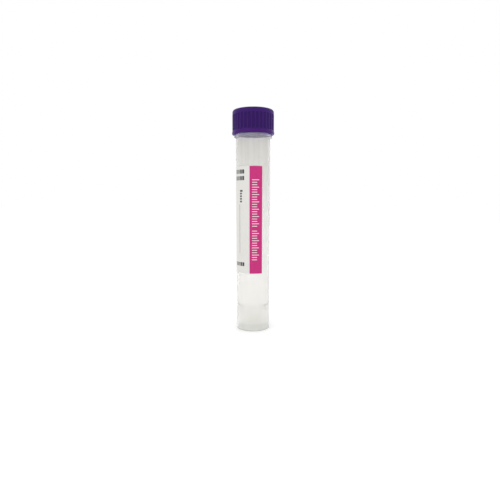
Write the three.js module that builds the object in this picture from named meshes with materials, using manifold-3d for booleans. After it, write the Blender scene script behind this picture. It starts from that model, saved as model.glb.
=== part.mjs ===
// Specimen swab tube: a self-standing screw-cap tube with its cap, sealing washer and wrap label.
// Millimetres, +Z up. The origin is the centre of the base rim and the front faces -Y.
// Angles round the tube are measured from the front, towards +X.
import * as THREE from "three";
import { mergeVertices } from "three/addons/utils/BufferGeometryUtils.js";
import Module from "manifold-3d";

// Tube: body, collar, neck and conical floor in one moulding.
const tubeLength = 101.5; // base rim to mouth
const bodyDiameter = 16.0; // outside, just under the collar
const bodyTaper = 0.12; // radius lost between the collar and the base rim
const wall = 1.1;
const neckLength = 9.25; // mouth to the collar's top face
const neckWall = 0.95;
const collarThickness = 1.25;
const collarOverhang = 0.95; // radius of the collar beyond the body
const skirtHeight = 10.2; // base rim to where the conical floor leaves the wall
const floorTipHeight = 0.8; // lowest point of the floor above the base rim
const floorTipRadius = 1.2; // flat end of the cone
const rimFillet = 0.25;
const mouthFillet = 0.3;
const collarFillet = 0.25;
const floorFillet = 1.5;
const skirtRootFillet = 0.35; // where the floor meets the inside of the skirt

// Closure thread, right-hand, on the neck and in the cap.
const threadPitch = 3.0;
const threadTurns = 1.75;
const threadHeight = 0.6;
const threadRootWidth = 1.3;
const threadCrestWidth = 0.6;
const threadRunout = 30; // degrees over which each end fades into its wall
const threadRadialGap = 0.2;
const threadFlankGap = 0.15;
const threadToMouth = 1.5; // mouth to the middle of the uppermost ridge
const threadToCapEdge = 1.6; // cap's lower edge to the middle of its lowest ridge

// Screw cap.
const capWall = 0.8; // behind the grooves between the ribs
const capTopThickness = 1.2;
const capTopFillet = 1.35;
const capCollarGap = 0.3; // cap's lower edge above the collar
const ribCount = 34;
const ribHeight = 0.3;
const ribRootWidth = 0.8;
const ribCrestWidth = 0.5;
const capRimHeight = 2.25; // smooth band above the ribs
const capFlangeHeight = 1.65; // smooth band below the ribs
const capFlangeOverhang = 0.47; // radius of the flange beyond the grooves
const capFlangeStep = 0.8; // height of the flange's straight lower part
const capEdgeFillet = 0.35;
const capLeadIn = 0.3; // chamfer at the cap's open end

// Sealing washer, held under the cap's top.
const washerThickness = 0.9;
const washerHoleDiameter = 12.4;
const washerSideGap = 0.2; // to the cap's bore
const washerFaceGap = 0.1; // to the mouth and to the cap's top

// Wrap label and the coloured strip printed down its right edge.
const labelBottom = 27.8;
const labelHeight = 49.8;
const labelWidth = 30.0; // measured round the body
const labelThickness = 0.1;
const labelRightEdge = 30.5; // degrees from the front
const adhesiveThickness = 0.03;
const stripWidth = 5.9;
const stripThickness = 0.04;
const stripGap = 0.02;

// Fineness of the round surfaces.
const tubeFacets = 64;
const filletSteps = 2;
const facetAngle = (2 * Math.PI) / tubeFacets;

// Heights and radii that follow from the sizes above.
const collarTop = tubeLength - neckLength;
const collarBottom = collarTop - collarThickness;
const bodyRadius = bodyDiameter / 2;
const boreRadius = bodyRadius - wall;
const neckRadius = boreRadius + neckWall;
const collarRadius = bodyRadius + collarOverhang;
const capEdge = collarTop + capCollarGap;
const capCeiling = tubeLength + washerThickness + 2 * washerFaceGap;
const capTop = capCeiling + capTopThickness;
const capBoreRadius = neckRadius + threadHeight + threadRadialGap;
const capGrooveRadius = capBoreRadius + capWall;
const capRibRadius = capGrooveRadius + ribHeight;
const flankSlope = (threadRootWidth - threadCrestWidth) / 2 / threadHeight;

const wasm = await Module();
wasm.setup();

// The outer radius of the tapered body at a height.
function bodyRadiusAt(height) {
  return bodyRadius - bodyTaper * (1 - height / collarBottom);
}

// A point at a radius, an angle from the front and a height.
function onCylinder(radius, angle, height) {
  return [radius * Math.sin(angle), -radius * Math.cos(angle), height];
}

// A geometry as a manifold solid, for joining and cutting.
function solidFrom(geometry) {
  const bare = geometry.clone();
  bare.deleteAttribute("normal");
  bare.deleteAttribute("uv");
  const merged = mergeVertices(bare, 1e-4);
  return new wasm.Manifold(
    new wasm.Mesh({
      numProp: 3,
      vertProperties: merged.attributes.position.array,
      triVerts: new Uint32Array(merged.index.array),
    }),
  );
}

// A manifold solid as a geometry.
function geometryFrom(solid) {
  const mesh = solid.getMesh();
  const geometry = new THREE.BufferGeometry();
  geometry.setAttribute("position", new THREE.BufferAttribute(mesh.vertProperties, 3));
  geometry.setIndex(new THREE.BufferAttribute(mesh.triVerts, 1));
  geometry.computeVertexNormals();
  return geometry;
}

// An outline through corners [radius, height, fillet], each corner rounded by a tangent arc.
function filletedOutline(corners) {
  const points = [];
  corners.forEach(([x, y, fillet = 0], i) => {
    const corner = new THREE.Vector2(x, y);
    const before = corners[i - 1];
    const after = corners[i + 1];
    if (!fillet || !before || !after) {
      points.push(corner);
      return;
    }
    const toBefore = new THREE.Vector2(before[0], before[1]).sub(corner);
    const toAfter = new THREE.Vector2(after[0], after[1]).sub(corner);
    const room = 0.5 * Math.min(toBefore.length(), toAfter.length());
    toBefore.normalize();
    toAfter.normalize();
    const halfAngle = Math.acos(toBefore.dot(toAfter)) / 2;
    const setback = Math.min(fillet / Math.tan(halfAngle), room);
    const reach = setback / Math.cos(halfAngle);
    const centre = toBefore.clone().add(toAfter).setLength(reach).add(corner);
    const start = toBefore.multiplyScalar(setback).add(corner).sub(centre);
    const end = toAfter.multiplyScalar(setback).add(corner).sub(centre);
    const turn = Math.atan2(start.cross(end), start.dot(end));
    for (let step = 0; step <= filletSteps; step++) {
      const arm = start.clone().rotateAround(new THREE.Vector2(), (turn * step) / filletSteps);
      points.push(arm.add(centre));
    }
  });
  return points;
}

// A solid of revolution about Z.
function turned(corners, facets, firstAngle = 0) {
  const lathe = new THREE.LatheGeometry(filletedOutline(corners), facets, firstAngle);
  return lathe.rotateX(Math.PI / 2);
}

// One helical ridge of the closure thread: a straight trapezoid bar bent round the axis.
// side is 1 for a ridge that stands out of its wall and -1 for one that stands into a bore.
function threadRidge(rootRadius, side, startAngle, startHeight) {
  const sunk = threadHeight / 2; // the bar's foot lies this deep in the wall
  const footHalf = threadRootWidth / 2 + flankSlope * sunk;
  const crestHalf = threadCrestWidth / 2;
  const section = new THREE.Shape([
    new THREE.Vector2(-sunk, -footHalf),
    new THREE.Vector2(threadHeight, -crestHalf),
    new THREE.Vector2(threadHeight, crestHalf),
    new THREE.Vector2(-sunk, footHalf),
  ]);
  const sweep = threadTurns * 2 * Math.PI;
  const runout = THREE.MathUtils.degToRad(threadRunout);
  const bar = new THREE.ExtrudeGeometry(section, {
    depth: sweep,
    steps: Math.ceil(sweep / facetAngle),
    bevelEnabled: false,
  });
  const at = bar.attributes.position;
  for (let i = 0; i < at.count; i++) {
    const along = at.getZ(i);
    const fade = Math.min(1, along / runout, (sweep - along) / runout);
    const rise = at.getX(i) > 0 ? at.getX(i) * fade : at.getX(i);
    const height = startHeight - side * at.getY(i) + (threadPitch * along) / (2 * Math.PI);
    at.setXYZ(i, ...onCylinder(rootRadius + side * rise, startAngle + along, height));
  }
  return solidFrom(bar);
}

// The tube, turned from its axis under the floor, out, up and back down the bore.
function tubeGeometry() {
  const footRadius = bodyRadiusAt(0);
  const skirtBore = footRadius - wall;
  const floorSlope = (skirtHeight - floorTipHeight) / (skirtBore - floorTipRadius);
  const floorRise = wall * Math.hypot(1, floorSlope); // the wall, measured straight up the cone
  const boreFoot = bodyRadiusAt(skirtHeight) - wall;
  const boreFootHeight = skirtHeight + floorRise + floorSlope * (boreFoot - skirtBore);
  const innerTip = floorTipHeight + floorRise;
  const blank = turned(
    [
      [0, floorTipHeight],
      [floorTipRadius, floorTipHeight, floorFillet],
      [skirtBore, skirtHeight, skirtRootFillet],
      [skirtBore, 0, rimFillet],
      [footRadius, 0, rimFillet],
      [bodyRadius, collarBottom, collarFillet],
      [collarRadius, collarBottom, collarFillet],
      [collarRadius, collarTop, collarFillet],
      [neckRadius, collarTop, collarFillet],
      [neckRadius, tubeLength, mouthFillet],
      [boreRadius, tubeLength, mouthFillet],
      [boreFoot, boreFootHeight, floorFillet],
      [floorTipRadius, innerTip, floorFillet],
      [0, innerTip],
    ],
    tubeFacets,
  );
  const top = tubeLength - threadToMouth;
  const ridge = threadRidge(neckRadius, 1, 0, top - threadPitch * threadTurns);
  return geometryFrom(solidFrom(blank).add(ridge));
}

// One rib of the cap's grip, a trapezoid prism with its foot sunk in the wall.
function capRib(angle, bottom, height) {
  const sunk = capWall / 2;
  const section = new THREE.Shape([
    new THREE.Vector2(-ribRootWidth / 2, -sunk),
    new THREE.Vector2(ribRootWidth / 2, -sunk),
    new THREE.Vector2(ribRootWidth / 2, 0),
    new THREE.Vector2(ribCrestWidth / 2, ribHeight),
    new THREE.Vector2(-ribCrestWidth / 2, ribHeight),
    new THREE.Vector2(-ribRootWidth / 2, 0),
  ]);
  const rib = new THREE.ExtrudeGeometry(section, { depth: height, bevelEnabled: false });
  const grooveFlat = capGrooveRadius * Math.cos(Math.PI / (2 * ribCount));
  rib.translate(0, grooveFlat, bottom).rotateZ(angle + Math.PI);
  return solidFrom(rib);
}

// The cap, turned from its axis under the top, down the bore and back up the outside.
function capGeometry() {
  const rimRadius = capRibRadius - 0.1 * ribHeight;
  const ribBottom = capEdge + capFlangeHeight;
  const ribTop = capTop - capRimHeight;
  const blank = turned(
    [
      [0, capCeiling],
      [capBoreRadius, capCeiling],
      [capBoreRadius, capEdge + capLeadIn],
      [capBoreRadius + capLeadIn, capEdge],
      [capGrooveRadius + capFlangeOverhang, capEdge, capEdgeFillet],
      [capGrooveRadius + capFlangeOverhang, capEdge + capFlangeStep, capEdgeFillet],
      [capRibRadius, ribBottom],
      [capGrooveRadius, ribBottom + ribHeight],
      [capGrooveRadius, ribTop - ribHeight],
      [rimRadius, ribTop],
      [rimRadius, capTop, capTopFillet],
      [0, capTop],
    ],
    2 * ribCount,
    -Math.PI / (2 * ribCount),
  );
  // The cap's ridge runs under the neck's, flank to flank with the named gap.
  const neckStart = tubeLength - threadToMouth - threadPitch * threadTurns;
  const overlapDepth = threadHeight - threadRadialGap;
  const ridgeDrop = threadCrestWidth + flankSlope * overlapDepth + threadFlankGap;
  const lowestRidge = capEdge + threadToCapEdge;
  const startAngle = ((lowestRidge + ridgeDrop - neckStart) / threadPitch) * 2 * Math.PI;
  let solid = solidFrom(blank).add(threadRidge(capBoreRadius, -1, startAngle, lowestRidge));
  for (let i = 0; i < ribCount; i++) {
    const angle = ((i + 0.5) / ribCount) * 2 * Math.PI;
    solid = solid.add(capRib(angle, ribBottom, ribTop - ribBottom));
  }
  return geometryFrom(solid);
}

// The sealing washer, a flat ring between the mouth and the cap's top.
function washerGeometry() {
  const inner = washerHoleDiameter / 2;
  const outer = capBoreRadius - washerSideGap;
  const bottom = tubeLength + washerFaceGap;
  const top = bottom + washerThickness;
  return turned([[inner, bottom], [outer, bottom], [outer, top], [inner, top], [inner, bottom]], tubeFacets);
}

// A film wrapped on the tapered body: its right edge at an angle, its width measured round the body.
function wrappedFilm(width, lift, thickness) {
  const sweep = width / bodyRadiusAt(labelBottom + labelHeight / 2);
  const film = new THREE.BoxGeometry(
    sweep, labelHeight, thickness,
    Math.ceil(sweep / facetAngle), 1, 1,
  );
  const rightEdge = THREE.MathUtils.degToRad(labelRightEdge);
  const at = film.attributes.position;
  for (let i = 0; i < at.count; i++) {
    const angle = rightEdge - sweep / 2 + at.getX(i);
    const height = labelBottom + labelHeight / 2 + at.getY(i);
    const radius = bodyRadiusAt(height) + lift + thickness / 2 + at.getZ(i);
    at.setXYZ(i, ...onCylinder(radius, angle, height));
  }
  film.computeVertexNormals();
  return film;
}

// A named mesh with its own material.
function piece(name, geometry, color, roughness, extra = {}) {
  const material = new THREE.MeshStandardMaterial({ color, roughness, metalness: 0, ...extra });
  const mesh = new THREE.Mesh(geometry, material);
  mesh.name = name;
  return mesh;
}

const labelLift = adhesiveThickness;
const stripLift = labelLift + labelThickness + stripGap;
const swabTube = new THREE.Group();
swabTube.name = "specimen_swab_tube";
swabTube.add(
  piece("tube", tubeGeometry(), 0xe9e7e3, 0.35, { transparent: true, opacity: 0.75 }),
  piece("label", wrappedFilm(labelWidth, labelLift, labelThickness), 0xf1f0ee, 0.5),
  piece("label_strip", wrappedFilm(stripWidth, stripLift, stripThickness), 0xcb3b7c, 0.45),
);
const closure = new THREE.Group();
closure.name = "closure";
closure.add(
  piece("sealing_washer", washerGeometry(), 0xe4e2dc, 0.6),
  piece("screw_cap", capGeometry(), 0x3d2367, 0.4),
);
swabTube.add(closure);

export default swabTube;
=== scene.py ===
"""Dresses the specimen swab tube: a milky self-standing tube with a ribbed screw cap, washer and wrap label.

All sizes are in metres, +Z up. The tube's axis is Z and its front faces -Y. Angles round the tube are in
radians, measured from the front towards +X.
"""

import logging
import math
from collections.abc import Callable, Sequence
from dataclasses import dataclass, field
from enum import Enum

import bpy
import numpy as np
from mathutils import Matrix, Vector

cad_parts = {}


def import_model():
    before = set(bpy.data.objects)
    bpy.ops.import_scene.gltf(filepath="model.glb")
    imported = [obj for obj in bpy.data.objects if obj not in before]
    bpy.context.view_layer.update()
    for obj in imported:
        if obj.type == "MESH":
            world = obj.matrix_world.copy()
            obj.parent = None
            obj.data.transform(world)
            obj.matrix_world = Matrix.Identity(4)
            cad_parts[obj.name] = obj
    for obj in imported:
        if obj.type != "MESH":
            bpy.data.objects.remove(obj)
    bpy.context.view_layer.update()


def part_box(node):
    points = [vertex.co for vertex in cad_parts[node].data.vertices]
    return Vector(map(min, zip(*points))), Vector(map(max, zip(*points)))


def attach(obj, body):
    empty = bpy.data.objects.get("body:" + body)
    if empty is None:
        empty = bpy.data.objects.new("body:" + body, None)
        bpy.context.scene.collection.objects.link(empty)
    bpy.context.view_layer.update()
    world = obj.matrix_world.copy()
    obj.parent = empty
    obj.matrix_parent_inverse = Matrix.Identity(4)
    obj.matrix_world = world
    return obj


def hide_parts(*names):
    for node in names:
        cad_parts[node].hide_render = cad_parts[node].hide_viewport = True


MM = 0.001
WHITE_LIGHT = (1.0, 1.0, 1.0, 1.0)
FULL_TURN = 2.0 * math.pi
SHARP_EDGE = 40.0  # degrees; an edge bent by more stays sharp
MOST_OF_NOISE = (0.3, 0.7)  # where most of a soft noise's values lie
log = logging.getLogger("specimen_tube")

Colour = tuple[float, float, float]
Span = tuple[float, float]
Socket = bpy.types.NodeSocket
Relief = Callable[[np.ndarray, float], np.ndarray]


class Body(Enum):
    """The moving bodies that the pieces ride on."""

    TUBE = "tube"
    WASHER = "washer"
    CAP = "cap"


class Slot(Enum):
    """The record's material slots."""

    TUBE_PLASTIC = "tube_plastic"
    LABEL_FILM = "label_film"
    STRIP_INK = "strip_ink"
    WASHER_SILICONE = "washer_silicone"
    CAP_PLASTIC = "cap_plastic"


class Ease(Enum):
    """How a value runs from one end of its range to the other."""

    SOFT = "SMOOTHSTEP"
    EVEN = "LINEAR"


class Side(Enum):
    """The side of its wall that a thread's ridge stands on."""

    OUTSIDE = 1
    BORE = -1


# ---------------------------------------------------------------------------------------------- outlines


@dataclass(frozen=True)
class Corner:
    """A corner of a turned outline, rounded by an arc of radius fillet."""

    radius: float
    height: float
    fillet: float = 0.0

    def point(self) -> np.ndarray:
        """The corner as a point of the outline."""
        return np.array([self.radius, self.height])


@dataclass(frozen=True)
class Ring:
    """One ring of a turned skin. A relief moves each of its points in or out from the radius."""

    radius: float
    height: float
    relief: Relief | None = None

    def radii(self, angles: np.ndarray) -> np.ndarray:
        """The ring's radius at each angle."""
        base = np.full(len(angles), self.radius)
        return base if self.relief is None else base + self.relief(angles, self.height)


def shares_of(whole: float, shares: Span) -> Span:
    """The span that two shares of a whole stand for."""
    return shares[0] * whole, shares[1] * whole


def near(edge: float, offsets: Span) -> Span:
    """The span that two offsets from an edge stand for."""
    return edge + offsets[0], edge + offsets[1]


def smooth(share: np.ndarray) -> np.ndarray:
    """Eases a share from 0 to 1 so that it starts and ends flat."""
    held = np.clip(share, 0.0, 1.0)
    return held * held * (3.0 - 2.0 * held)


def rounded(corners: Sequence[Corner], steps: int = 6) -> list[np.ndarray]:
    """Rounds each corner of an outline by a tangent arc.

    Args:
        corners: the outline's corners in order; the two ends stay sharp.
        steps: spans in each arc.

    Returns:
        The outline's points as (radius, height).
    """
    points: list[np.ndarray] = []
    for index, corner in enumerate(corners):
        here = corner.point()
        if not corner.fillet or index in (0, len(corners) - 1):
            points.append(here)
            continue
        back = corners[index - 1].point() - here
        onward = corners[index + 1].point() - here
        room = 0.5 * min(np.hypot(*back), np.hypot(*onward))
        back, onward = back / np.hypot(*back), onward / np.hypot(*onward)
        half = 0.5 * math.acos(float(np.clip(back @ onward, -1.0, 1.0)))
        setback = min(corner.fillet / math.tan(half), room)
        bisector = (back + onward) / np.hypot(*(back + onward))
        centre = here + bisector * setback / math.cos(half)
        start, end = here + back * setback - centre, here + onward * setback - centre
        turn = math.atan2(start[0] * end[1] - start[1] * end[0], start @ end)
        for step in range(steps + 1):
            angle = turn * step / steps
            cos, sin = math.cos(angle), math.sin(angle)
            points.append(centre + [start[0] * cos - start[1] * sin, start[0] * sin + start[1] * cos])
    return points


def on_cylinder(radii: np.ndarray, angles: np.ndarray, heights: np.ndarray) -> np.ndarray:
    """Points at radii, angles from the front and heights, one row for each point."""
    return np.stack([radii * np.sin(angles), -radii * np.cos(angles), heights], axis=-1)


# ------------------------------------------------------------------------------------------------ meshes


def new_piece(name: str, points: np.ndarray, faces: list[tuple[int, ...]],
              crease: float = SHARP_EDGE) -> bpy.types.Object:
    """Makes a smooth-shaded mesh object in the scene.

    Args:
        name: the piece's name.
        points: its vertices, one row each.
        faces: its faces as vertex numbers.
        crease: angle in degrees above which an edge stays sharp.

    Returns:
        The new object.
    """
    mesh = bpy.data.meshes.new(name)
    mesh.from_pydata(points.tolist(), [], faces)
    mesh.validate()
    mesh.shade_smooth()
    mesh.set_sharp_from_angle(angle=math.radians(crease))
    piece = bpy.data.objects.new(name, mesh)
    bpy.context.scene.collection.objects.link(piece)
    return piece


def turned(name: str, rings: Sequence[Ring], angles: np.ndarray,
           crease: float = SHARP_EDGE) -> bpy.types.Object:
    """Turns rings about Z into one closed skin.

    Args:
        name: the piece's name.
        rings: the outline's rings in order, the material on their left. Where the first and the last are on
            the axis they become poles; otherwise the last joins the first.
        angles: the angles of each ring's points.
        crease: angle in degrees above which an edge stays sharp.

    Returns:
        The new object.
    """
    count = len(angles)
    rows: list[np.ndarray] = []
    numbers: list[list[int]] = []
    total = 0
    for ring in rings:
        if ring.radius == 0.0:
            rows.append(np.array([[0.0, 0.0, ring.height]]))
            numbers.append([total] * count)
            total += 1
            continue
        rows.append(on_cylinder(ring.radii(angles), angles, np.full(count, ring.height)))
        numbers.append(list(range(total, total + count)))
        total += count
    if rings[0].radius:
        numbers.append(numbers[0])
    faces: list[tuple[int, ...]] = []
    for low, high in zip(numbers, numbers[1:]):
        for j in range(count):
            k = (j + 1) % count
            face = (low[j], low[k], high[k], high[j])
            faces.append(tuple(dict.fromkeys(face)))
    return new_piece(name, np.concatenate(rows), faces, crease)


def even_angles(count: int) -> np.ndarray:
    """Angles that share a full turn evenly."""
    return np.arange(count) * FULL_TURN / count


def plain_rings(outline: Sequence[np.ndarray]) -> list[Ring]:
    """A ring for each point of an outline, without a relief."""
    return [Ring(float(radius), float(height)) for radius, height in outline]


def stretch(start: np.ndarray, end: np.ndarray, step: float, relief: Relief | None = None) -> list[Ring]:
    """Rings along a straight stretch of an outline.

    Args:
        start: the stretch's first point, as (radius, height).
        end: its last point.
        step: the longest gap between two rings.
        relief: the relief that the rings carry, if any.

    Returns:
        The rings from start up to, but without, end.
    """
    spans = max(1, math.ceil(float(np.hypot(*(end - start))) / step - 1e-6))
    points = [start + (end - start) * span / spans for span in range(spans)]
    return [Ring(float(radius), float(height), relief) for radius, height in points]


@dataclass(frozen=True)
class Thread:
    """A right-hand helical ridge on a cylinder.

    Args:
        side: whether the ridge stands out of its wall or into a bore.
        start_angle: the angle where its lower end starts.
        start_height: the height of the ridge's middle there.
        pitch: its rise in one turn.
        turns: how many turns it makes.
        height: how far its crest stands from the wall.
        root_width: its width at the wall.
        crest_width: its width at the crest.
        runout: the angle over which each end fades into the wall.
    """

    side: Side
    start_angle: float
    start_height: float
    pitch: float = 3.0 * MM
    turns: float = 1.75
    height: float = 0.6 * MM
    root_width: float = 1.3 * MM
    crest_width: float = 0.6 * MM
    runout: float = math.radians(30.0)

    def relief(self, angles: np.ndarray, height: float) -> np.ndarray:
        """How far the ridge moves each point of a ring.

        Args:
            angles: the angles of the ring's points.
            height: the ring's height.

        Returns:
            The move away from the axis at each angle, below 0 in a bore.
        """
        sweep = self.turns * FULL_TURN
        flank = 0.5 * (self.root_width - self.crest_width)
        rise = np.zeros(len(angles))
        for turn in range(math.ceil(self.turns)):
            along = (angles - self.start_angle) % FULL_TURN + turn * FULL_TURN
            middle = self.start_height + self.pitch * along / FULL_TURN
            ends = np.clip(np.minimum(along, sweep - along) / self.runout, 0.0, 1.0)
            profile = smooth((0.5 * self.root_width - np.abs(height - middle)) / flank)
            rise = np.maximum(rise, self.height * ends * profile)
        return self.side.value * rise


# ---------------------------------------------------------------------------------------------- finishes


class Bench:
    """Adds and wires the nodes of one material or world."""

    noise_roughness = 0.55

    def __init__(self, tree: bpy.types.NodeTree) -> None:
        """Starts on a node tree that may hold Blender's own first nodes."""
        self.tree = tree
        tree.nodes.clear()

    def add(self, kind: str, inputs: dict[str | int, object] | None = None,
            **settings: object) -> bpy.types.Node:
        """Adds one node.

        Args:
            kind: the node's type, such as ShaderNodeTexNoise.
            inputs: a value, or a socket to wire in, for each named or numbered input.
            **settings: the node's own settings.

        Returns:
            The new node.
        """
        node = self.tree.nodes.new(kind)
        for name, value in settings.items():
            setattr(node, name, value)
        for name, value in (inputs or {}).items():
            if isinstance(value, Socket):
                self.tree.links.new(value, node.inputs[name])
            else:
                node.inputs[name].default_value = value
        return node

    def place(self, upright: float = 1.0) -> Socket:
        """The piece's own coordinates in metres.

        Args:
            upright: what the heights are multiplied by.

        Returns:
            The coordinates.
        """
        own = self.add("ShaderNodeTexCoord").outputs["Object"]
        wired = {"Vector": own, "Scale": (1.0, 1.0, upright)}
        return self.add("ShaderNodeMapping", wired).outputs["Vector"]

    def height(self, place: Socket) -> Socket:
        """The height above the standing edge."""
        return self.add("ShaderNodeSeparateXYZ", {"Vector": place}).outputs["Z"]

    def radius(self, place: Socket) -> Socket:
        """The distance from the tube's axis.

        Args:
            place: the coordinates.

        Returns:
            The distance in metres.
        """
        flat = self.add("ShaderNodeVectorMath", {0: place, 1: (1.0, 1.0, 0.0)}, operation="MULTIPLY")
        length = self.add("ShaderNodeVectorMath", {0: flat.outputs["Vector"]}, operation="LENGTH")
        return length.outputs["Value"]

    def noise(self, place: Socket, grain: float, detail: float = 3.0) -> Socket:
        """A soft noise with lumps of about the grain's size in metres."""
        wired = {"Vector": place, "Scale": 1.0 / grain, "Detail": detail, "Roughness": self.noise_roughness}
        return self.add("ShaderNodeTexNoise", wired).outputs["Fac"]

    def rings(self, place: Socket, pitch: float, wander: float) -> Socket:
        """Rings round the tube's axis.

        Args:
            place: the coordinates.
            pitch: the distance between two rings in metres.
            wander: how far they wander off true.

        Returns:
            A value that goes from 0 to 1 and back in each ring.
        """
        scale = math.pi / (10.0 * pitch)  # the node's rings are pi / (10 scale) apart
        wired = {"Vector": place, "Scale": scale, "Distortion": wander, "Detail": 1.0}
        wave = self.add("ShaderNodeTexWave", wired, wave_type="RINGS", rings_direction="Z")
        return wave.outputs["Fac"]

    def spread(self, value: Socket, source: Span, target: tuple[float | Socket, float | Socket] = (0.0, 1.0),
               ease: Ease = Ease.SOFT) -> Socket:
        """Maps a value from one range to another, held at both ends.

        Args:
            value: the value.
            source: the range that it comes from.
            target: the range that it goes to, as numbers or sockets.
            ease: how it runs from one end to the other.

        Returns:
            The mapped value.
        """
        wired = {"Value": value, "From Min": source[0], "From Max": source[1],
                 "To Min": target[0], "To Max": target[1]}
        return self.add("ShaderNodeMapRange", wired, interpolation_type=ease.value).outputs["Result"]

    def blend(self, share: Socket, first: object, second: object, way: str = "MIX") -> Socket:
        """Mixes two colours.

        Args:
            share: the second colour's share.
            first: the first colour, a Colour or a socket.
            second: the second colour, likewise.
            way: the mix node's name for how they are mixed.

        Returns:
            The mixed colour.
        """
        node = self.add("ShaderNodeMix", data_type="RGBA", blend_type=way)
        self.tree.links.new(share, node.inputs["Factor"])
        for name, colour in (("A", first), ("B", second)):
            socket = next(s for s in node.inputs if s.name == name and s.type == "RGBA")
            if isinstance(colour, Socket):
                self.tree.links.new(colour, socket)
            else:
                socket.default_value = (*colour, 1.0)
        return next(s for s in node.outputs if s.type == "RGBA")

    def bump(self, height: Socket, depth: float, strength: float = 1.0,
             under: Socket | None = None) -> Socket:
        """A bump, on top of another where one is given.

        Args:
            height: the bump's height, from 0 to 1.
            depth: the depth that 1 stands for, in metres.
            strength: how strongly it shows.
            under: the normal of the bump that it lies on, if any.

        Returns:
            The bumped normal.
        """
        wired: dict[str | int, object] = {"Height": height, "Distance": depth, "Strength": strength}
        if under is not None:
            wired["Normal"] = under
        return self.add("ShaderNodeBump", wired).outputs["Normal"]

    def finish_with(self, surface: Socket, output: str = "ShaderNodeOutputMaterial") -> None:
        """Sends a shader to the output node."""
        self.add(output, {"Surface": surface})

    def coat(self, inputs: dict[str | int, object]) -> None:
        """Sends a principled shader with these inputs to the output node."""
        self.finish_with(self.add("ShaderNodeBsdfPrincipled", inputs).outputs["BSDF"])


def new_material(name: str) -> tuple[bpy.types.Material, Bench]:
    """Makes an empty node material.

    Args:
        name: its name.

    Returns:
        The material and its bench.
    """
    material = bpy.data.materials.new(name)
    material.use_nodes = True
    return material, Bench(material.node_tree)


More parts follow.
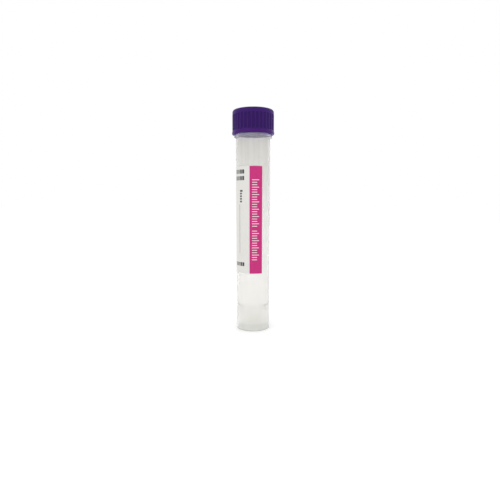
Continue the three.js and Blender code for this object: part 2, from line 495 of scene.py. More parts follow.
@dataclass(frozen=True)
class MilkyPlastic:
    """Milky see-through polypropylene: faint upright flow lines, cloudy patches and a fine skin.

    Shares are of the collar's height, apart from foot_shade_shares, which are of the skirt's. Fades are
    offsets from an edge, grains are the sizes of noise lumps, and ranges are the noise values between which
    an effect goes from none to all.

    Args:
        upper: the tint just under the collar, darker: painted shade under the cap.
        neck: the tint of the collar and the neck, darker and violet: painted shade and violet light from the
            cap.
        lower: the tint below the label.
        foot: what the tint is darkened by at the standing edge, painted shade of the shadowed floor inside
            the skirt.
        warm: what the tint is multiplied by below the label, where the wall is a little creamier.
        thin: the tint of the conical floor, which is moulded thinner.
        cloud: the tint of the cloudier patches, laid over all of these.
        streak: what the tint is darkened by in the flow lines, which run down from the collar.
        tint_shares: where the lower tint turns into the upper one, the painted shade under the cap.
        warm_shares: where the warm tint fades out.
        flow_shares: where the flow lines come in.
        foot_shade_shares: where the painted shade at the standing edge fades out.
        neck_cap_light_fade: where the neck's painted shade and violet light come in, from the collar.
        floor_fade: where the floor's tint goes out, from the bore.
        clearness: the share of light that passes the outer skin, below the label and above it.
        clear_shares: where the one clearness turns into the other.
        skin_fade: where the skin's clearness comes in, from the bore.
        bore_clearness: the share that passes the bore and the conical floor, which are smoother.
        streak_grain: the width of a flow line.
        streak_upright: the scale of heights in the flow lines, which stretches them.
        streak_range: the flow lines' range.
        streak_depth: how deep they wave the skin.
        cloud_grain: the size of a cloudy patch.
        cloud_range: the patches' range.
        cloud_share: how much of the cloud's tint the patches take.
        skin_grain: the size of the skin's texture.
        skin_depth: how deep it is.
        gloss: the least and most roughness.
        ior: the refractive index, low because the milky wall softens its own refraction.
    """

    # painted shade: the upper tint darkens the tube towards the cap
    upper: Colour = (0.858, 0.849, 0.825)
    lower: Colour = (0.998, 0.998, 0.985)
    # painted shade at the standing edge
    foot: Colour = (0.925, 0.935, 0.925)
    # painted shade and violet light from the cap, not the plastic's own tint
    neck: Colour = (0.82, 0.80, 0.88)
    warm: Colour = (0.990, 0.982, 0.973)
    thin: Colour = (0.996, 0.993, 0.975)
    cloud: Colour = (0.99, 0.99, 0.975)
    streak: Colour = (0.945, 0.945, 0.935)
    tint_shares: Span = (0.68, 1.0)
    warm_shares: Span = (0.24, 0.33)
    flow_shares: Span = (0.55, 0.85)
    foot_shade_shares: Span = (0.28, 0.40)
    neck_cap_light_fade: Span = (-0.3 * MM, 0.3 * MM)
    floor_fade: Span = (-0.8 * MM, -0.3 * MM)
    clearness: Span = (0.66, 0.71)
    clear_shares: Span = (0.31, 0.55)
    skin_fade: Span = (0.2 * MM, 0.6 * MM)
    bore_clearness: float = 0.96
    streak_grain: float = 1.6 * MM
    streak_upright: float = 0.04
    streak_range: Span = (0.42, 0.62)
    streak_depth: float = 0.02 * MM
    cloud_grain: float = 9.0 * MM
    cloud_range: Span = (0.35, 0.75)
    cloud_share: float = 0.5
    skin_grain: float = 0.22 * MM
    skin_depth: float = 0.004 * MM
    gloss: Span = (0.10, 0.18)
    ior: float = 1.18

    def material(self, skirt: float, collar: float, bore: float) -> bpy.types.Material:
        """Makes the plastic for a tube.

        Args:
            skirt: the height of the skirt.
            collar: the height of the collar.
            bore: the bore's radius, within which only the conical floor lies.

        Returns:
            The material.
        """
        material, bench = new_material("milky_polypropylene")
        place = bench.place()
        height, radius = bench.height(place), bench.radius(place)
        streaks = bench.noise(bench.place(self.streak_upright), self.streak_grain, detail=4.0)
        clouds = bench.noise(place, self.cloud_grain, detail=2.0)
        skin = bench.noise(place, self.skin_grain, detail=2.0)
        # painted shade: the tint darkens upwards towards the cap
        raised = bench.spread(height, shares_of(collar, self.tint_shares), ease=Ease.EVEN)
        cap_shaded_tint = bench.blend(raised, self.lower, self.upper)
        below_label = bench.spread(height, shares_of(collar, self.warm_shares), (1.0, 0.0))
        body = bench.blend(below_label, cap_shaded_tint, self.warm, "MULTIPLY")
        # painted shade and violet light from the cap over the collar and the neck
        on_neck = bench.spread(height, near(collar, self.neck_cap_light_fade))
        on_floor = bench.spread(radius, near(bore, self.floor_fade), (1.0, 0.0))
        whole = bench.blend(on_floor, bench.blend(on_neck, body, self.neck), self.thin)
        # painted shade: darker towards the standing edge, where the floor inside the skirt lies in shadow
        in_foot_shade = bench.spread(height, shares_of(skirt, self.foot_shade_shares), (1.0, 0.0))
        toned = bench.blend(in_foot_shade, whole, self.foot, "MULTIPLY")
        cloudy = bench.spread(clouds, self.cloud_range, (0.0, self.cloud_share))
        patchy = bench.blend(cloudy, toned, self.cloud, "MULTIPLY")
        flow = bench.spread(height, shares_of(collar, self.flow_shares))
        in_line = bench.spread(streaks, self.streak_range, (0.0, flow))
        skin_clearness = bench.spread(height, shares_of(collar, self.clear_shares), self.clearness)
        clearness = bench.spread(radius, near(bore, self.skin_fade), (self.bore_clearness, skin_clearness))
        waviness = bench.bump(streaks, self.streak_depth, strength=0.5)
        bench.coat({
            "Base Color": bench.blend(in_line, patchy, self.streak, "MULTIPLY"),
            "Roughness": bench.spread(clouds, MOST_OF_NOISE, self.gloss),
            "Normal": bench.bump(skin, self.skin_depth, strength=0.6, under=waviness),
            "Transmission Weight": clearness,
            "IOR": self.ior,
        })
        return material


@dataclass(frozen=True)
class SatinPlastic:
    """Solid coloured polypropylene with a satin moulded skin, a little paler on the ribs: partly finger wear,
    partly a painted highlight on the crests.

    The top keeps the fine rings that the mould's turned face leaves. Fades are offsets from the bore's
    ceiling, grains are the sizes of noise lumps, and ranges are the noise values between which an effect goes
    from none to all.

    Args:
        deep: the plastic's colour.
        rubbed_and_highlit: its colour on the raised ribs, partly finger wear and partly a painted highlight.
        lit_flange: its colour on the flange, which stands out past the ribs, paler: painted light from the
            floor below.
        inner: its colour inside the bore, much paler: a painted glow that stands in for light coming through
            the wall.
        bore_glow_fade: where the painted glow inside the bore goes out.
        flow_tone: what the colour is darkened by in the flow marks.
        flow_grain: the width of a flow mark.
        flow_upright: the scale of heights in the flow marks, which stretches them.
        flow_range: the flow marks' range.
        flow_share: how much of their tone the flow marks take.
        flow_depth: how deep they are.
        patch_grain: the size of a paler patch on the ribs.
        rib_pale_shares: the least and most that the ribs are paled, by wear and by painted highlight.
        skin_grain: the size of the skin's texture.
        skin_depth: how deep it is.
        ring_pitch: the distance between two turning rings.
        ring_wander: how far they wander off true.
        ring_depth: how deep they are.
        ring_fade: where they come in.
        gloss: the least and most roughness.
        shine: the specular level.
    """

    deep: Colour = (0.027, 0.0030, 0.100)
    # partly finger wear, partly a painted highlight on the rib crests
    rubbed_and_highlit: Colour = (0.044, 0.0080, 0.145)
    # painted light on the flange, from the floor below
    lit_flange: Colour = (0.056, 0.0040, 0.145)
    # painted light: a glow for light through the cap's wall
    inner: Colour = (0.32, 0.14, 0.90)
    bore_glow_fade: Span = (0.2 * MM, 0.5 * MM)
    flow_tone: Colour = (0.86, 0.86, 0.90)
    flow_grain: float = 1.1 * MM
    flow_upright: float = 0.12
    flow_range: Span = (0.4, 0.8)
    flow_share: float = 0.4
    flow_depth: float = 0.02 * MM
    patch_grain: float = 3.5 * MM
    rib_pale_shares: Span = (0.55, 1.0)
    skin_grain: float = 0.16 * MM
    skin_depth: float = 0.012 * MM
    ring_pitch: float = 0.45 * MM
    ring_wander: float = 0.4
    ring_depth: float = 0.010 * MM
    ring_fade: Span = (0.6 * MM, 1.1 * MM)
    gloss: Span = (0.34, 0.50)
    shine: float = 0.14

    def material(self, radii: tuple[float, float, float, float], ceiling: float) -> bpy.types.Material:
        """Makes the plastic for a cap.

        Args:
            radii: the radii of the cap's bore, grooves, ribs and flange.
            ceiling: the height of the bore's ceiling.

        Returns:
            The material.
        """
        bore, groove, crest, flange = radii
        material, bench = new_material("satin_violet_polypropylene")
        place = bench.place()
        height, out = bench.height(place), bench.radius(place)
        patches = bench.noise(place, self.patch_grain, detail=3.0)
        skin = bench.noise(place, self.skin_grain, detail=2.0)
        flow = bench.noise(bench.place(self.flow_upright), self.flow_grain, detail=3.0)
        # paler towards the rib crests: partly finger wear, partly a painted highlight
        on_rib = bench.spread(out, (groove, crest))
        in_patch = bench.spread(patches, MOST_OF_NOISE, self.rib_pale_shares)
        rib_paling = bench.add("ShaderNodeMath", {0: on_rib, 1: in_patch}, operation="MULTIPLY").outputs["Value"]
        # painted light: a pale violet glow inside the bore, for light through the wall
        inside = bench.blend(bench.spread(out, (bore, groove)), self.inner, self.deep)
        above_bore = bench.spread(height, near(ceiling, self.bore_glow_fade))
        ribbed = bench.blend(rib_paling, bench.blend(above_bore, inside, self.deep), self.rubbed_and_highlit)
        # painted light: the flange is paler, as if lit from the floor below
        colour = bench.blend(bench.spread(out, (crest, flange)), ribbed, self.lit_flange)
        rings = bench.rings(place, self.ring_pitch, self.ring_wander)
        on_top = bench.spread(height, near(ceiling, self.ring_fade), (0.0, rings))
        turned_face = bench.bump(on_top, self.ring_depth, strength=0.8)
        marked = bench.bump(flow, self.flow_depth, strength=0.3, under=turned_face)
        in_mark = bench.spread(flow, self.flow_range, (0.0, self.flow_share))
        bench.coat({
            "Base Color": bench.blend(in_mark, colour, self.flow_tone, "MULTIPLY"),
            "Roughness": bench.spread(patches, MOST_OF_NOISE, self.gloss),
            "Normal": bench.bump(skin, self.skin_depth, strength=0.5, under=marked),
            "Specular IOR Level": self.shine,
        })
        return material


@dataclass(frozen=True)
class SoftRubber:
    """Soft silicone with a dry, faintly mottled skin.

    Args:
        pale: its colour.
        mottle: its colour in the darker mottles.
        mottle_grain: the size of a mottle.
        mottle_range: the noise values between which a mottle comes in.
        skin_grain: the size of the skin's texture.
        skin_depth: how deep it is.
        gloss: the least and most roughness.
    """

    pale: Colour = (0.72, 0.71, 0.67)
    mottle: Colour = (0.62, 0.61, 0.57)
    mottle_grain: float = 1.2 * MM
    mottle_range: Span = (0.35, 0.75)
    skin_grain: float = 0.12 * MM
    skin_depth: float = 0.01 * MM
    gloss: Span = (0.55, 0.70)

    def material(self) -> bpy.types.Material:
        """Makes the rubber.

        Returns:
            The material.
        """
        material, bench = new_material("pale_silicone")
        place = bench.place()
        mottles = bench.noise(place, self.mottle_grain, detail=4.0)
        in_mottle = bench.spread(mottles, self.mottle_range)
        bench.coat({
            "Base Color": bench.blend(in_mottle, self.pale, self.mottle),
            "Roughness": bench.spread(mottles, MOST_OF_NOISE, self.gloss),
            "Normal": bench.bump(bench.noise(place, self.skin_grain), self.skin_depth, strength=0.6),
        })
        return material


@dataclass(frozen=True)
class PrintedFilm:
    """Printed label stock: a paper-white or inked film with fine fibre tone and a soft sheen.

    Args:
        name: the material's name.
        tone: the film's colour.
        shade: its colour in the slightly darker fibres.
        gloss: the least and most roughness.
        shine: the specular level.
        fibre_grain: the width of a fibre.
        fibre_range: the noise values between which a fibre comes in.
        fibre_upright: the scale of heights in the fibres, which stretches them.
        fibre_depth: how deep they are.
        tooth_grain: the size of the film's fine tooth.
        tooth_depth: how deep it is.
    """

    name: str
    tone: Colour
    shade: Colour
    gloss: Span = (0.42, 0.55)
    shine: float = 0.5
    fibre_grain: float = 0.5 * MM
    fibre_range: Span = (0.35, 0.8)
    fibre_upright: float = 0.35
    fibre_depth: float = 0.01 * MM
    tooth_grain: float = 0.1 * MM
    tooth_depth: float = 0.006 * MM

    def material(self) -> bpy.types.Material:
        """Makes the film.

        Returns:
            The material.
        """
        material, bench = new_material(self.name)
        fibres = bench.noise(bench.place(self.fibre_upright), self.fibre_grain, detail=5.0)
        tooth = bench.noise(bench.place(), self.tooth_grain, detail=2.0)
        in_fibre = bench.spread(fibres, self.fibre_range)
        fibrous = bench.bump(fibres, self.fibre_depth, strength=0.25)
        bench.coat({
            "Base Color": bench.blend(in_fibre, self.tone, self.shade),
            "Roughness": bench.spread(fibres, MOST_OF_NOISE, self.gloss),
            "Normal": bench.bump(tooth, self.tooth_depth, strength=0.5, under=fibrous),
            "Specular IOR Level": self.shine,
        })
        return material


LABEL_WHITE = PrintedFilm("label_white", (0.775, 0.765, 0.73), (0.735, 0.725, 0.69))
STRIP_MAGENTA = PrintedFilm("strip_magenta", (0.60, 0.042, 0.212), (0.54, 0.035, 0.190), (0.36, 0.5), 0.08)
MARK_DARK = PrintedFilm("mark_charcoal", (0.035, 0.035, 0.04), (0.06, 0.06, 0.065), (0.4, 0.55))
RULE_GREY = PrintedFilm("rule_grey", (0.30, 0.30, 0.30), (0.38, 0.38, 0.38), (0.4, 0.55))
MARK_WHITE = PrintedFilm("mark_white", (0.90, 0.83, 0.86), (0.86, 0.78, 0.82), (0.42, 0.55))


def dress(piece: bpy.types.Object, material: bpy.types.Material, body: Body,
          stands_for: str | None = None) -> bpy.types.Object:
    """Gives a piece its material and body, hides the CAD node that it stands for, and reports it.

    Args:
        piece: the piece.
        material: its material.
        body: the body that it moves with.
        stands_for: the CAD node that it replaces, if any.

    Returns:
        The piece.
    """
    piece.data.materials.append(material)
    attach(piece, body.value)
    if stands_for:
        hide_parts(stands_for)
    log.info("%s: %d faces, %s, on %s", piece.name, len(piece.data.polygons), material.name, body.value)
    return piece


# ----------------------------------------------------------------------------------------------- the tube


@dataclass
class SpecimenTube:
    """The tube: tapered body, collar, threaded neck, open skirt and conical floor in one moulding."""

    high: Vector
    body_radius: float = 8.0 * MM
    taper: float = 0.12 * MM
    wall: float = 1.1 * MM
    neck_length: float = 9.25 * MM
    neck_wall: float = 0.95 * MM
    collar_thickness: float = 1.25 * MM
    skirt_height: float = 10.2 * MM
    floor_tip_height: float = 0.8 * MM
    floor_tip_radius: float = 1.2 * MM
    rim_fillet: float = 0.25 * MM
    mouth_fillet: float = 0.3 * MM
    collar_fillet: float = 0.25 * MM
    floor_fillet: float = 1.5 * MM
    skirt_root_fillet: float = 0.35 * MM
    thread_to_mouth: float = 1.5 * MM
    thread_step: float = 0.09 * MM
    wall_step: float = 5.0 * MM
    facets: int = 192
    finish: MilkyPlastic = field(default_factory=MilkyPlastic)

    def __post_init__(self) -> None:
        """Works out the heights and radii that follow."""
        self.mouth = self.high.z
        self.collar_radius = self.high.x
        self.collar_top = self.mouth - self.neck_length
        self.collar_bottom = self.collar_top - self.collar_thickness
        self.bore_radius = self.body_radius - self.wall
        self.neck_radius = self.bore_radius + self.neck_wall

    def radius_at(self, height: float) -> float:
        """The outer radius of the tapered body at a height."""
        return self.body_radius - self.taper * (1.0 - height / self.collar_bottom)

    def thread(self) -> Thread:
        """Lays out the neck's thread.

        Returns:
            The thread, which ends a little under the mouth.
        """
        ridge = Thread(Side.OUTSIDE, 0.0, 0.0)
        start = self.mouth - self.thread_to_mouth - ridge.pitch * ridge.turns
        return Thread(Side.OUTSIDE, 0.0, start)

    def corners(self) -> list[Corner]:
        """Lays out the moulding's outline.

        Returns:
            Its corners, from the axis under the floor, out, up and back down the bore.
        """
        foot = self.radius_at(0.0)
        skirt_bore = foot - self.wall
        slope = (self.skirt_height - self.floor_tip_height) / (skirt_bore - self.floor_tip_radius)
        floor_rise = self.wall * math.hypot(1.0, slope)
        bore_foot = self.radius_at(self.skirt_height) - self.wall
        bore_foot_height = self.skirt_height + floor_rise + slope * (bore_foot - skirt_bore)
        inner_tip = self.floor_tip_height + floor_rise
        return [
            Corner(0.0, self.floor_tip_height),
            Corner(self.floor_tip_radius, self.floor_tip_height, self.floor_fillet),
            Corner(skirt_bore, self.skirt_height, self.skirt_root_fillet),
            Corner(skirt_bore, 0.0, self.rim_fillet),
            Corner(foot, 0.0, self.rim_fillet),
            Corner(self.body_radius, self.collar_bottom, self.collar_fillet),
            Corner(self.collar_radius, self.collar_bottom, self.collar_fillet),
            Corner(self.collar_radius, self.collar_top, self.collar_fillet),
            Corner(self.neck_radius, self.collar_top, self.collar_fillet),
            Corner(self.neck_radius, self.mouth, self.mouth_fillet),
            Corner(self.bore_radius, self.mouth, self.mouth_fillet),
            Corner(bore_foot, bore_foot_height, self.floor_fillet),
            Corner(self.floor_tip_radius, inner_tip, self.floor_fillet),
            Corner(0.0, inner_tip),
        ]

    def rings(self) -> list[Ring]:
        """Turns the outline into rings.

        Returns:
            The rings, close together where the neck carries its thread.
        """
        outline = rounded(self.corners())
        ridge = self.thread().relief
        rings: list[Ring] = []
        for start, end in zip(outline, outline[1:]):
            on_neck = math.isclose(start[0], self.neck_radius) and math.isclose(end[0], self.neck_radius)
            if on_neck and end[1] - start[1] > MM:
                rings += stretch(start, end, self.thread_step, ridge)
            else:
                rings += stretch(start, end, self.wall_step)
        return [*rings, Ring(0.0, float(outline[-1][1]))]

    def build(self) -> bpy.types.Object:
        """Builds and dresses the moulding.

        Returns:
            The piece.
        """
        piece = turned("tube_moulding", self.rings(), even_angles(self.facets))
        material = self.finish.material(self.skirt_height, self.collar_bottom, self.bore_radius)
        return dress(piece, material, Body.TUBE, "tube")


# ------------------------------------------------------------------------------------------------ the cap


@dataclass
class ScrewCap:
    """The ribbed screw cap with its smooth rim, its lower flange and the thread in its bore."""

    low: Vector
    high: Vector
    neck: SpecimenTube
    top_thickness: float = 1.2 * MM
    top_fillet: float = 1.35 * MM
    thread_clearance: float = 0.2 * MM
    flank_gap: float = 0.15 * MM
    thread_to_edge: float = 1.6 * MM
    cap_wall: float = 0.8 * MM
    rib_count: int = 34
    rib_height: float = 0.3 * MM
    rib_root_width: float = 0.8 * MM
    rib_crest_width: float = 0.5 * MM
    rib_ease: float = 0.09 * MM
    rim_height: float = 2.25 * MM
    rim_inset_share: float = 0.1
    flange_height: float = 1.65 * MM
    flange_step: float = 0.8 * MM
    edge_fillet: float = 0.35 * MM
    lead_in: float = 0.3 * MM
    lead_in_fillet: float = 0.05 * MM
    root_fillet: float = 0.25 * MM
    gate_radius: float = 0.9 * MM
    gate_depth: float = 0.12 * MM
    gate_fillet: float = 0.2 * MM
    run_spans: int = 6
    grip_step: float = 0.8 * MM
    thread_step: float = 0.12 * MM
    crease: float = 45.0
    finish: SatinPlastic = field(default_factory=SatinPlastic)

    def __post_init__(self) -> None:
        """Works out the heights and radii that follow."""
        self.edge = self.low.z
        self.top = self.high.z
        self.ceiling = self.top - self.top_thickness
        self.flange_radius = self.high.x
        self.bore_radius = self.neck.neck_radius + self.neck.thread().height + self.thread_clearance
        self.groove_radius = self.bore_radius + self.cap_wall
        self.rib_radius = self.groove_radius + self.rib_height
        self.rim_radius = self.rib_radius - self.rim_inset_share * self.rib_height
        self.grip_bottom = self.edge + self.flange_height
        self.grip_top = self.top - self.rim_height

    def thread(self) -> Thread:
        """Lays out the bore's thread.

        Returns:
            The thread, which lies under the neck's, flank to flank.
        """
        mate = self.neck.thread()
        flank_slope = 0.5 * (mate.root_width - mate.crest_width) / mate.height
        overlap = mate.height - self.thread_clearance
        drop = mate.crest_width + flank_slope * overlap + self.flank_gap
        start = self.edge + self.thread_to_edge
        angle = (start + drop - mate.start_height) / mate.pitch * FULL_TURN
        return Thread(Side.BORE, angle, start)

    def angles(self) -> np.ndarray:
        """Lays out the angles of each ring's points.

        Returns:
            Angles round the cap, set on the edges of each rib.
        """
        crest, root = 0.5 * self.rib_crest_width, 0.5 * self.rib_root_width
        half_pitch = math.pi * self.rib_radius / self.rib_count
        marks = [0.0, crest - self.rib_ease, crest, 0.5 * (crest + root), root, root + self.rib_ease]
        across = np.array([-half_pitch, *(-mark for mark in marks[:0:-1]), *marks]) / self.rib_radius
        middles = (np.arange(self.rib_count) + 0.5) * FULL_TURN / self.rib_count
        return (middles[:, None] + across[None, :]).ravel()

    def rib(self, angles: np.ndarray) -> np.ndarray:
        """The ribs' height round the cap.

        Args:
            angles: angles round the cap.

        Returns:
            The height above the grooves at each angle.
        """
        pitch = FULL_TURN / self.rib_count
        across = np.abs((angles % pitch) - 0.5 * pitch) * self.rib_radius
        outer = 0.5 * self.rib_root_width + self.rib_ease
        inner = 0.5 * self.rib_crest_width - self.rib_ease
        return self.rib_height * smooth((outer - across) / (outer - inner))

    def grip(self, angles: np.ndarray, height: float) -> np.ndarray:
        """The relief of the grip, whose grooves run out into the rim above and the flange below.

        Args:
            angles: angles round the cap.
            height: the height of the ring.

        Returns:
            The height above the grooves at each angle.
        """
        from_end = min(height - self.grip_bottom, self.grip_top - height)
        opened = smooth(np.array(from_end / self.rib_height))
        below = height < 0.5 * (self.grip_bottom + self.grip_top)
        filled = self.rib_height if below else self.rim_radius - self.groove_radius
        return filled + (self.rib(angles) - filled) * opened

    def outside(self) -> list[Ring]:
        """Lays out the outer skin.

        Returns:
            Rings from the open edge, up the flange and the grip, over the rim to the gate mark.
        """
        edge_corners = [
            Corner(self.bore_radius, self.edge + self.lead_in),
            Corner(self.bore_radius + self.lead_in, self.edge, self.lead_in_fillet),
            Corner(self.flange_radius, self.edge, self.edge_fillet),
            Corner(self.flange_radius, self.edge + self.flange_step, self.edge_fillet),
            Corner(self.rib_radius, self.grip_bottom),
        ]
        rings = plain_rings(rounded(edge_corners)[:-1])
        run = self.rib_height
        foot = np.array([self.groove_radius, self.grip_bottom])
        head = np.array([self.groove_radius, self.grip_top])
        low, high = foot + [0.0, run], head - [0.0, run]
        for start, end, step in ((foot, low, run / self.run_spans), (low, high, self.grip_step),
                                 (high, head, run / self.run_spans)):
            rings += stretch(start, end, step, self.grip)
        top_corners = [
            Corner(self.rim_radius, self.grip_top),
            Corner(self.rim_radius, self.top, self.top_fillet),
            Corner(2.0 * self.gate_radius, self.top, self.gate_fillet),
            Corner(self.gate_radius, self.top - self.gate_depth, self.gate_fillet),
            Corner(0.0, self.top - self.gate_depth),
        ]
        return rings + plain_rings(rounded(top_corners, steps=8))

    def bore(self) -> list[Ring]:
        """Lays out the inner skin.

        Returns:
            Rings from the axis under the top, out and down the threaded bore.
        """
        corners = [
            Corner(0.0, self.ceiling),
            Corner(self.bore_radius, self.ceiling, self.root_fillet),
            Corner(self.bore_radius, self.edge + self.lead_in),
        ]
        outline = rounded(corners)
        threaded = stretch(outline[-2], outline[-1], self.thread_step, self.thread().relief)
        return plain_rings(outline[:-2]) + threaded

    def build(self) -> bpy.types.Object:
        """Builds and dresses the cap.

        Returns:
            The piece.
        """
        piece = turned("screw_cap_moulding", self.bore() + self.outside(), self.angles(), self.crease)
        radii = (self.bore_radius, self.groove_radius, self.rib_radius, self.flange_radius)
        material = self.finish.material(radii, self.ceiling)
        return dress(piece, material, Body.CAP, "screw_cap")


@dataclass
class SealingWasher:
    """The flat sealing ring under the cap's top, with softly rounded edges."""

    low: Vector
    high: Vector
    hole_radius: float = 6.2 * MM
    edge_fillet: float = 0.2 * MM
    facets: int = 128
    finish: SoftRubber = field(default_factory=SoftRubber)

    def build(self) -> bpy.types.Object:
        """Builds and dresses the washer.

        Returns:
            The piece.
        """
        middle = 0.5 * (self.hole_radius + self.high.x)
        corners = [
            Corner(middle, self.low.z),
            Corner(self.high.x, self.low.z, self.edge_fillet),
            Corner(self.high.x, self.high.z, self.edge_fillet),
            Corner(self.hole_radius, self.high.z, self.edge_fillet),
            Corner(self.hole_radius, self.low.z, self.edge_fillet),
            Corner(middle, self.low.z),
        ]
        rings = plain_rings(rounded(corners, steps=4)[:-1])
        piece = turned("washer_ring", rings, even_angles(self.facets))
        return dress(piece, self.finish.material(), Body.WASHER, "sealing_washer")


# ---------------------------------------------------------------------------------------------- the label


@dataclass(frozen=True)
class Patch:
    """A thin film bent round the body, with rounded corners.

    Args:
        left: the angle of its left edge.
        right: the angle of its right edge.
        bottom: its lowest height.
        top: its highest height.
        lift: how far its back lies off the body.
        thickness: the film's thickness.
        corner: the radius of its corners.
    """

    left: float
    right: float
    bottom: float
    top: float
    lift: float
    thickness: float
    corner: float

    def columns(self, radius: float, step: float, corner_steps: int = 6) -> tuple[np.ndarray, np.ndarray]:
        """Angles across the film and how far each corner cuts its height there.

        Args:
            radius: the body's radius.
            step: the longest angle between two columns.
            corner_steps: columns in each corner.

        Returns:
            The angles and the cuts.
        """
        nearly_half = 0.499
        shorter_side = min(self.top - self.bottom, radius * (self.right - self.left))
        reach = min(self.corner, nearly_half * shorter_side)
        easing = (1.0 - np.cos(np.linspace(0.0, 0.5 * math.pi, corner_steps))) * reach / radius
        spans = max(2, math.ceil((self.right - self.left) / step))
        middle = np.linspace(self.left + easing[-1], self.right - easing[-1], spans)[1:-1]
        angles = np.concatenate([self.left + easing, middle, (self.right - easing)[::-1]])
        inside = np.minimum(angles - self.left, self.right - angles) * radius
        missing = np.clip(reach - inside, 0.0, reach)
        return angles, reach - np.sqrt(np.maximum(reach**2 - missing**2, 0.0))


def films(name: str, patches: Sequence[Patch], tube: SpecimenTube, rows: int = 1,
          step: float = math.radians(2.5)) -> bpy.types.Object:
    """Makes one piece from thin films on the tapered body.

    Args:
        name: the piece's name.
        patches: the films.
        tube: the tube that they lie on.
        rows: spans up each film.
        step: the longest angle between two columns of a film.

    Returns:
        The new object.
    """
    points: list[np.ndarray] = []
    faces: list[tuple[int, ...]] = []
    total = 0
    radius_at = np.vectorize(tube.radius_at)
    for patch in patches:
        angles, cuts = patch.columns(tube.body_radius, step)
        count = len(angles)
        share = np.linspace(0.0, 1.0, rows + 1)[:, None]
        heights = (patch.bottom + cuts) + share * (patch.top - patch.bottom - 2.0 * cuts)
        across = np.broadcast_to(angles, heights.shape)
        for offset in (patch.lift, patch.lift + patch.thickness):
            points.append(on_cylinder(radius_at(heights) + offset, across, heights).reshape(-1, 3))
        back, front = total, total + count * (rows + 1)
        total = front + count * (rows + 1)
        for row in range(rows):
            for column in range(count - 1):
                a = row * count + column
                b, c, d = a + 1, a + count + 1, a + count
                faces.append((front + a, front + b, front + c, front + d))
                faces.append((back + d, back + c, back + b, back + a))
        rim = list(range(count)) + [row * count + count - 1 for row in range(1, rows + 1)]
        rim += [rows * count + column for column in range(count - 2, -1, -1)]
        rim += [row * count for row in range(rows - 1, 0, -1)]
        for here, following in zip(rim, rim[1:] + rim[:1]):
            faces.append((back + here, back + following, front + following, front + here))
    return new_piece(name, np.concatenate(points), faces)


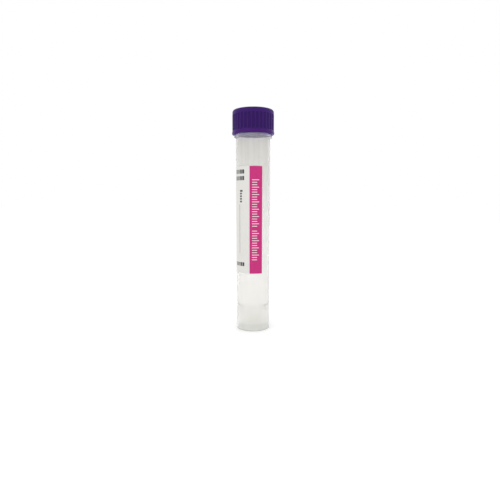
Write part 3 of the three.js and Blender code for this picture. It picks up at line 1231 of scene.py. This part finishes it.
@dataclass
class WrapLabel:
    """The wrap label with its coloured strip and its plain printed marks.

    Insets are distances round the body from the strip's left edge, to the right for the ticks and to the left
    for the others. Heads are distances below the label's top. rows holds the head and height of each row of
    bars, and a row has wide bars and then narrow ones. The column is the short upright row.
    """

    tube: SpecimenTube
    film_low: Vector
    film_high: Vector
    strip_low: Vector
    strip_high: Vector
    right_edge: float = math.radians(30.5)
    width: float = 30.0 * MM
    lift: float = 0.03 * MM
    thickness: float = 0.1 * MM
    strip_width: float = 5.9 * MM
    strip_gap: float = 0.02 * MM
    strip_thickness: float = 0.04 * MM
    film_corner: float = 0.15 * MM
    film_rows: int = 10
    ink: float = 0.012 * MM
    tick_pitch: float = 1.12 * MM
    tick_height: float = 0.30 * MM
    tick_short: float = 2.4 * MM
    tick_long: float = 3.3 * MM
    tick_inset: float = 1.1 * MM
    tick_head: float = 6.3 * MM
    tick_corner: float = 0.2 * MM
    ticks_above_gap: int = 20
    ticks_below_gap: int = 13
    rows: tuple[tuple[float, float], ...] = ((1.5 * MM, 1.9 * MM), (4.5 * MM, 1.9 * MM),
                                             (44.6 * MM, 1.8 * MM))
    row_inset: float = 2.65 * MM
    wide_bars: int = 2
    wide_width: float = 1.05 * MM
    wide_pitch: float = 1.3 * MM
    narrow_bars: int = 4
    narrow_width: float = 0.5 * MM
    narrow_pitch: float = 0.85 * MM
    narrow_inset: float = 2.75 * MM
    column_bars: int = 5
    column_first_width: float = 1.6 * MM
    column_width: float = 1.15 * MM
    column_height: float = 0.8 * MM
    column_pitch: float = 1.22 * MM
    column_inset: float = 5.1 * MM
    column_head: float = 10.9 * MM
    rule_inset: float = 5.2 * MM
    rule_width: float = 0.27 * MM
    rule_head: float = 17.5 * MM
    rule_length: float = 23.0 * MM
    rule_corner: float = 0.05 * MM
    rule_rows: int = 4

    def __post_init__(self) -> None:
        """Works out the places that follow."""
        self.bottom, self.top = self.film_low.z, self.film_high.z
        middle_radius = self.tube.radius_at(0.5 * (self.bottom + self.top))
        self.turn = 1.0 / middle_radius
        self.left_edge = self.right_edge - self.width * self.turn
        self.strip_left = self.right_edge - self.strip_width * self.turn
        self.film_face = self.lift + self.thickness
        self.strip_face = self.film_face + self.strip_gap + self.strip_thickness

    def film(self) -> bpy.types.Object:
        """Builds the white film.

        Returns:
            The piece.
        """
        patch = Patch(self.left_edge, self.right_edge, self.bottom, self.top, self.lift, self.thickness,
                      self.film_corner)
        piece = films("label_film", [patch], self.tube, self.film_rows)
        return dress(piece, LABEL_WHITE.material(), Body.TUBE, "label")

    def strip(self) -> bpy.types.Object:
        """Builds the coloured strip down the film's right edge.

        Returns:
            The piece.
        """
        patch = Patch(self.strip_left, self.right_edge, self.strip_low.z, self.strip_high.z,
                      self.film_face + self.strip_gap, self.strip_thickness, self.film_corner)
        piece = films("strip_film", [patch], self.tube, self.film_rows)
        return dress(piece, STRIP_MAGENTA.material(), Body.TUBE, "label_strip")

    def ticks(self) -> bpy.types.Object:
        """Builds the white ticks down the strip, in two groups and every third one long.

        Returns:
            The piece.
        """
        patches: list[Patch] = []
        left = self.strip_left + self.tick_inset * self.turn
        for index in range(self.ticks_above_gap + self.ticks_below_gap):
            slipped = index + (1 if index >= self.ticks_above_gap else 0)
            low = self.top - self.tick_head - slipped * self.tick_pitch - 0.5 * self.tick_height
            right = left + (self.tick_long if index % 3 == 0 else self.tick_short) * self.turn
            high = low + self.tick_height
            patches.append(Patch(left, right, low, high, self.strip_face, self.ink, self.tick_corner))
        piece = films("strip_ticks", patches, self.tube)
        return dress(piece, MARK_WHITE.material(), Body.TUBE)

    def bar(self, left: float, right: float, below_top: float, height: float,
            corner: float = 0.12 * MM) -> Patch:
        """A printed bar on the film.

        Args:
            left: distance of its left edge from the strip, round the body.
            right: distance of its right edge from the strip.
            below_top: distance of its upper edge from the label's top.
            height: its height.
            corner: the radius of its corners.

        Returns:
            The bar's patch.
        """
        upper = self.top - below_top
        return Patch(self.strip_left - left * self.turn, self.strip_left - right * self.turn,
                     upper - height, upper, self.film_face, self.ink, corner)

    def marks(self) -> bpy.types.Object:
        """Builds the dark bars: two rows at the top, a short upright row and a row at the foot.

        Returns:
            The piece.
        """
        patches: list[Patch] = []
        wide = [(index * self.wide_pitch, self.wide_width) for index in range(self.wide_bars)]
        narrow = [(self.narrow_inset + index * self.narrow_pitch, self.narrow_width)
                  for index in range(self.narrow_bars)]
        for below_top, height in self.rows:
            for inset, width in wide + narrow:
                right = self.row_inset + inset
                patches.append(self.bar(right + width, right, below_top, height))
        for index in range(self.column_bars):
            right = self.column_inset - (self.column_width if index else self.column_first_width)
            below_top = self.column_head + index * self.column_pitch
            patches.append(self.bar(self.column_inset, right, below_top, self.column_height))
        piece = films("label_marks", patches, self.tube)
        return dress(piece, MARK_DARK.material(), Body.TUBE)

    def rule(self) -> bpy.types.Object:
        """Builds the thin grey write-on rule.

        Returns:
            The piece.
        """
        patch = self.bar(self.rule_inset + self.rule_width, self.rule_inset, self.rule_head, self.rule_length,
                         self.rule_corner)
        piece = films("label_rule", [patch], self.tube, self.rule_rows)
        return dress(piece, RULE_GREY.material(), Body.TUBE)

    def build(self) -> None:
        """Builds and dresses the label's pieces."""
        for part in (self.film, self.strip, self.ticks, self.marks, self.rule):
            part()


# --------------------------------------------------------------------------------------------- the studio


@dataclass(frozen=True)
class Softbox:
    """A square lamp that faces the tube."""

    name: str
    place: tuple[float, float, float]
    side: float
    power: float

    def build(self, aim: Vector) -> None:
        """Builds the lamp.

        Args:
            aim: the point that it is turned towards.
        """
        light = bpy.data.lights.new(self.name, "AREA")
        light.shape = "SQUARE"
        light.size = self.side
        light.energy = self.power
        lamp = bpy.data.objects.new(self.name, light)
        lamp.location = self.place
        lamp.rotation_euler = (aim - Vector(self.place)).to_track_quat("-Z", "Y").to_euler()
        bpy.context.scene.collection.objects.link(lamp)


@dataclass
class Studio:
    """A plain white floor and air, three soft lamps and the camera."""

    aim: Vector
    floor_side: float = 12.0
    air_strength: float = 0.90
    floor_tone: Colour = (0.90, 0.90, 0.90)
    floor_glow: float = 0.20
    camera_place: tuple[float, float, float] = (-0.00148, -0.212, 0.06076)
    camera_tilt: float = math.radians(6.1)
    camera_near: float = 0.01
    lens: float = 31.72
    softboxes: tuple[Softbox, ...] = (
        Softbox("key_softbox", (-0.55, -0.75, 0.75), 0.7, 1.5),
        Softbox("fill_softbox", (0.75, -0.55, 0.45), 0.8, 0.5),
        Softbox("back_softbox", (0.1, 0.8, 0.8), 0.9, 1.0),
    )

    @staticmethod
    def seen(bench: Bench) -> Socket:
        """Picks out the rays that show the background: straight, mirrored or through the plastic.

        Args:
            bench: the bench that the nodes go on.

        Returns:
            1 for those rays and 0 for others.
        """
        path = bench.add("ShaderNodeLightPath").outputs
        either = bench.add("ShaderNodeMath", {0: path["Is Camera Ray"], 1: path["Is Glossy Ray"]},
                           operation="MAXIMUM").outputs["Value"]
        return bench.add("ShaderNodeMath", {0: either, 1: path["Is Transmission Ray"]},
                         operation="MAXIMUM").outputs["Value"]

    def air(self) -> None:
        """White air where it is seen, and a plain soft light on the object."""
        world = bpy.data.worlds.new("studio_air")
        world.use_nodes = True
        bench = Bench(world.node_tree)
        light = bench.add("ShaderNodeBackground", {"Color": WHITE_LIGHT, "Strength": self.air_strength})
        white = bench.add("ShaderNodeBackground", {"Color": WHITE_LIGHT, "Strength": 1.0})
        mixed = bench.add("ShaderNodeMixShader",
                          {0: self.seen(bench), 1: light.outputs[0], 2: white.outputs[0]})
        bench.finish_with(mixed.outputs[0], "ShaderNodeOutputWorld")
        bpy.context.scene.world = world

    def floor(self) -> None:
        """The floor: pale to the lamps, white where it is seen, and shaded under the tube."""
        half = 0.5 * self.floor_side
        points = np.array([(-half, -half, 0.0), (half, -half, 0.0), (half, half, 0.0), (-half, half, 0.0)])
        floor = new_piece("studio_floor", points, [(0, 1, 2, 3)])
        material, bench = new_material("floor_white")
        lit = bench.add("ShaderNodeBsdfDiffuse", {"Color": (*self.floor_tone, 1.0)})
        strength = bench.spread(self.seen(bench), (0.0, 1.0), (0.0, self.floor_glow))
        glow = bench.add("ShaderNodeEmission", {"Color": WHITE_LIGHT, "Strength": strength})
        shown = bench.add("ShaderNodeAddShader", {0: lit.outputs[0], 1: glow.outputs[0]})
        bench.finish_with(shown.outputs[0])
        floor.data.materials.append(material)

    def camera(self) -> None:
        """The camera, level from side to side and tilted a little down."""
        data = bpy.data.cameras.new("studio_camera")
        data.lens = self.lens
        data.clip_start = self.camera_near
        camera = bpy.data.objects.new("studio_camera", data)
        camera.location = self.camera_place
        camera.rotation_euler = (0.5 * math.pi - self.camera_tilt, 0.0, 0.0)
        bpy.context.scene.collection.objects.link(camera)
        bpy.context.scene.camera = camera

    def build(self) -> None:
        """Builds the studio."""
        self.air()
        self.floor()
        self.camera()
        for softbox in self.softboxes:
            softbox.build(self.aim)
        bpy.context.scene.view_settings.view_transform = "Standard"
        log.info("studio: %d lamps", len(self.softboxes))


def main() -> None:
    """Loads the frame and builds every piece."""
    logging.basicConfig(level=logging.INFO, format="%(name)s: %(message)s")
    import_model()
    _, tube_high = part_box("tube")
    tube = SpecimenTube(tube_high)
    tube.build()
    WrapLabel(tube, *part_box("label"), *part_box("label_strip")).build()
    SealingWasher(*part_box("sealing_washer")).build()
    ScrewCap(*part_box("screw_cap"), tube).build()
    Studio(Vector((0.0, 0.0, 0.5 * tube.mouth))).build()


if __name__ == "__main__":
    main()
